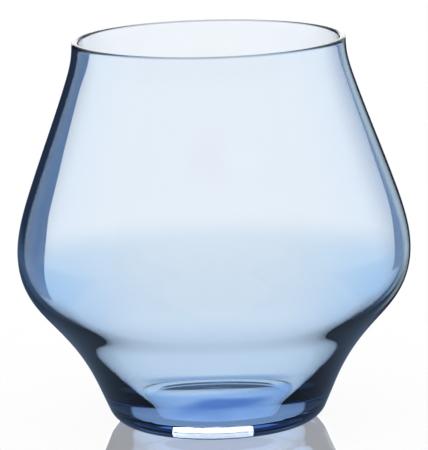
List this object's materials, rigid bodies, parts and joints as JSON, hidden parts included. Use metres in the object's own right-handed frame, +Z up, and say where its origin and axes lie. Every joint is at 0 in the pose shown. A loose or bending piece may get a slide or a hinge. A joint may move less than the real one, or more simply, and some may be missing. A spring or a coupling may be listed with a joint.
{
  "type": "stemless wine glass",
  "caption": "Stemless drinking glass of pale blue clear glass: a round belly above a waisted thick base, with sides drawing in to a thin polished rim.",
  "frame": {"origin": "centre of the base, on the surface that the glass stands on", "axes": "+Z up along the axis of the glass, towards its mouth; X and Y are any level pair, because the glass is round"},
  "size_m": [0.0996, 0.0996, 0.098],
  "materials": {
    "blue_glass": "clear polished, tinted pale blue"
  },
  "bodies": {
    "root": {"base": "blue_glass", "lower_bowl": "blue_glass", "belly": "blue_glass", "shoulder": "blue_glass", "upper_bowl": "blue_glass", "rim": "blue_glass"}
  },
  "joints": []
}
